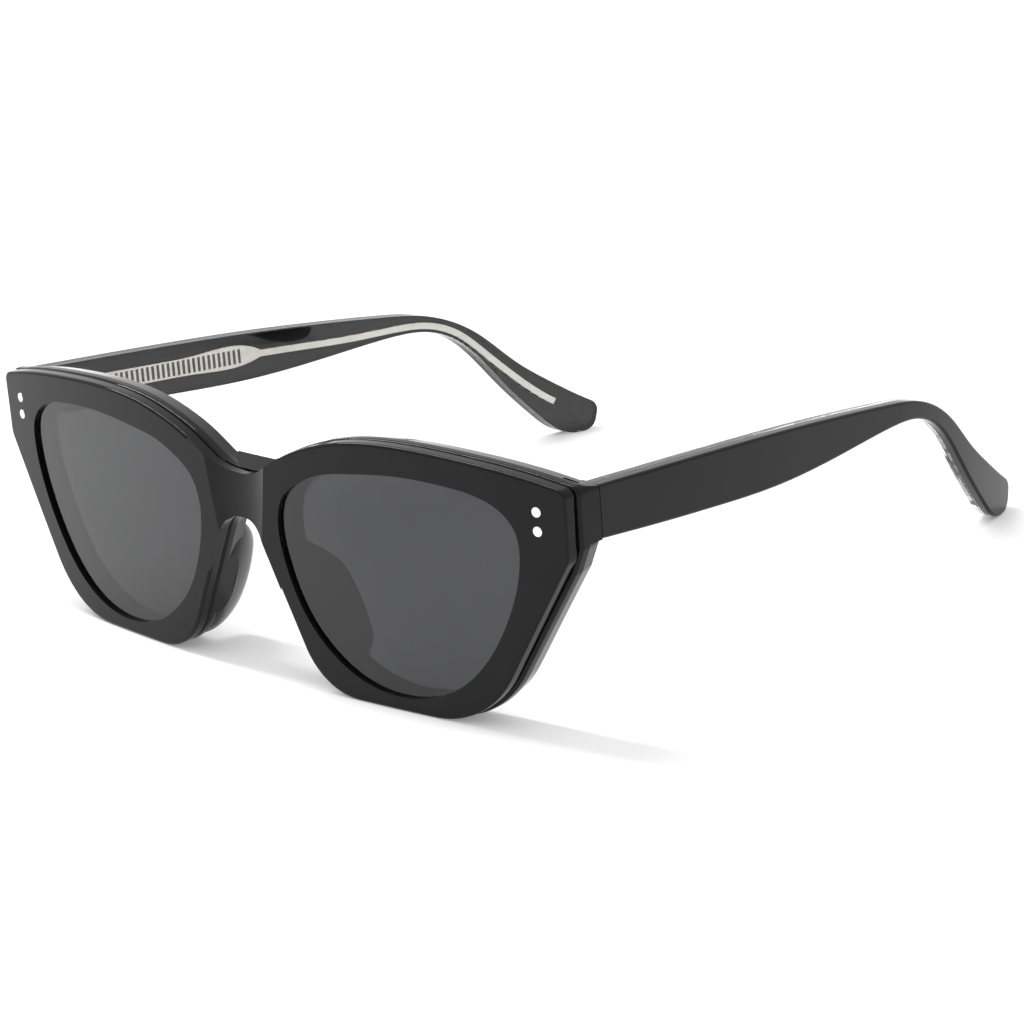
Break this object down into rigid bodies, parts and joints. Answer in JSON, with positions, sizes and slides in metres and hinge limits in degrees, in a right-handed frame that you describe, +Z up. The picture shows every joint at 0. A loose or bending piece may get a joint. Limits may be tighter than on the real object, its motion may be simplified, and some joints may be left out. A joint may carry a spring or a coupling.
{
  "type": "cat eye glasses with magnetic sun clip",
  "caption": "Black acetate cat eye glasses with folding laminated temples and a pull-off magnetic front that carries dark lenses.",
  "frame": {"origin": "on the ground under the middle of the bounding box, with the temples open", "axes": "+X to the wearer's left, -Y forward and out of the front, +Z up"},
  "size_m": [0.1446, 0.1428, 0.0461],
  "materials": {
    "frame_acetate": "polished black cellulose acetate",
    "clip_acetate": "polished black cellulose acetate",
    "temple_black": "polished black cellulose acetate, the outer layer of a laminate",
    "temple_clear": "polished clear cellulose acetate, the inner layer of a laminate",
    "clear_lens": "clear optical lens, polished both sides",
    "dark_lens": "neutral grey sun lens, polished both sides",
    "rivet_silver": "polished silver-coloured metal",
    "hinge_steel": "satin nickel silver",
    "hinge_screw": "turned steel",
    "core_metal": "satin nickel silver strip and wire",
    "magnet_nickel": "nickel-plated magnet"
  },
  "bodies": {
    "frame": {"front_frame": "frame_acetate", "nose_pad_left": "frame_acetate", "nose_pad_right": "frame_acetate", "optical_lens_left": "clear_lens", "optical_lens_right": "clear_lens", "frame_hinge_left": "hinge_steel", "frame_hinge_right": "hinge_steel", "hinge_screw_left": "hinge_screw", "hinge_screw_right": "hinge_screw", "frame_magnet_left": "magnet_nickel", "frame_magnet_right": "magnet_nickel"},
    "clip_on": {"clip_front": "clip_acetate", "clip_lens_left": "dark_lens", "clip_lens_right": "dark_lens", "clip_rivets_left": "rivet_silver", "clip_rivets_right": "rivet_silver", "clip_magnet_left": "magnet_nickel", "clip_magnet_right": "magnet_nickel"},
    "temple_left": {"temple_outer_left": "temple_black", "temple_inner_left": "temple_clear", "temple_core_left": "core_metal", "temple_hinge_left": "hinge_steel"},
    "temple_right": {"temple_outer_right": "temple_black", "temple_inner_right": "temple_clear", "temple_core_right": "core_metal", "temple_hinge_right": "hinge_steel"}
  },
  "joints": [
    {"name": "left_hinge", "type": "hinge", "parent": "frame", "child": "temple_left", "pos_m": [0.0671, -0.0565, 0.0366], "axis": [0, 0, 1], "range_deg": [0, 83]},
    {"name": "right_hinge", "type": "hinge", "parent": "frame", "child": "temple_right", "pos_m": [-0.0671, -0.0565, 0.0366], "axis": [0, 0, -1], "range_deg": [0, 67]},
    {"name": "clip_pull", "type": "slide", "parent": "frame", "child": "clip_on", "axis": [0, -1, 0], "range_m": [0, 0.03]}
  ]
}
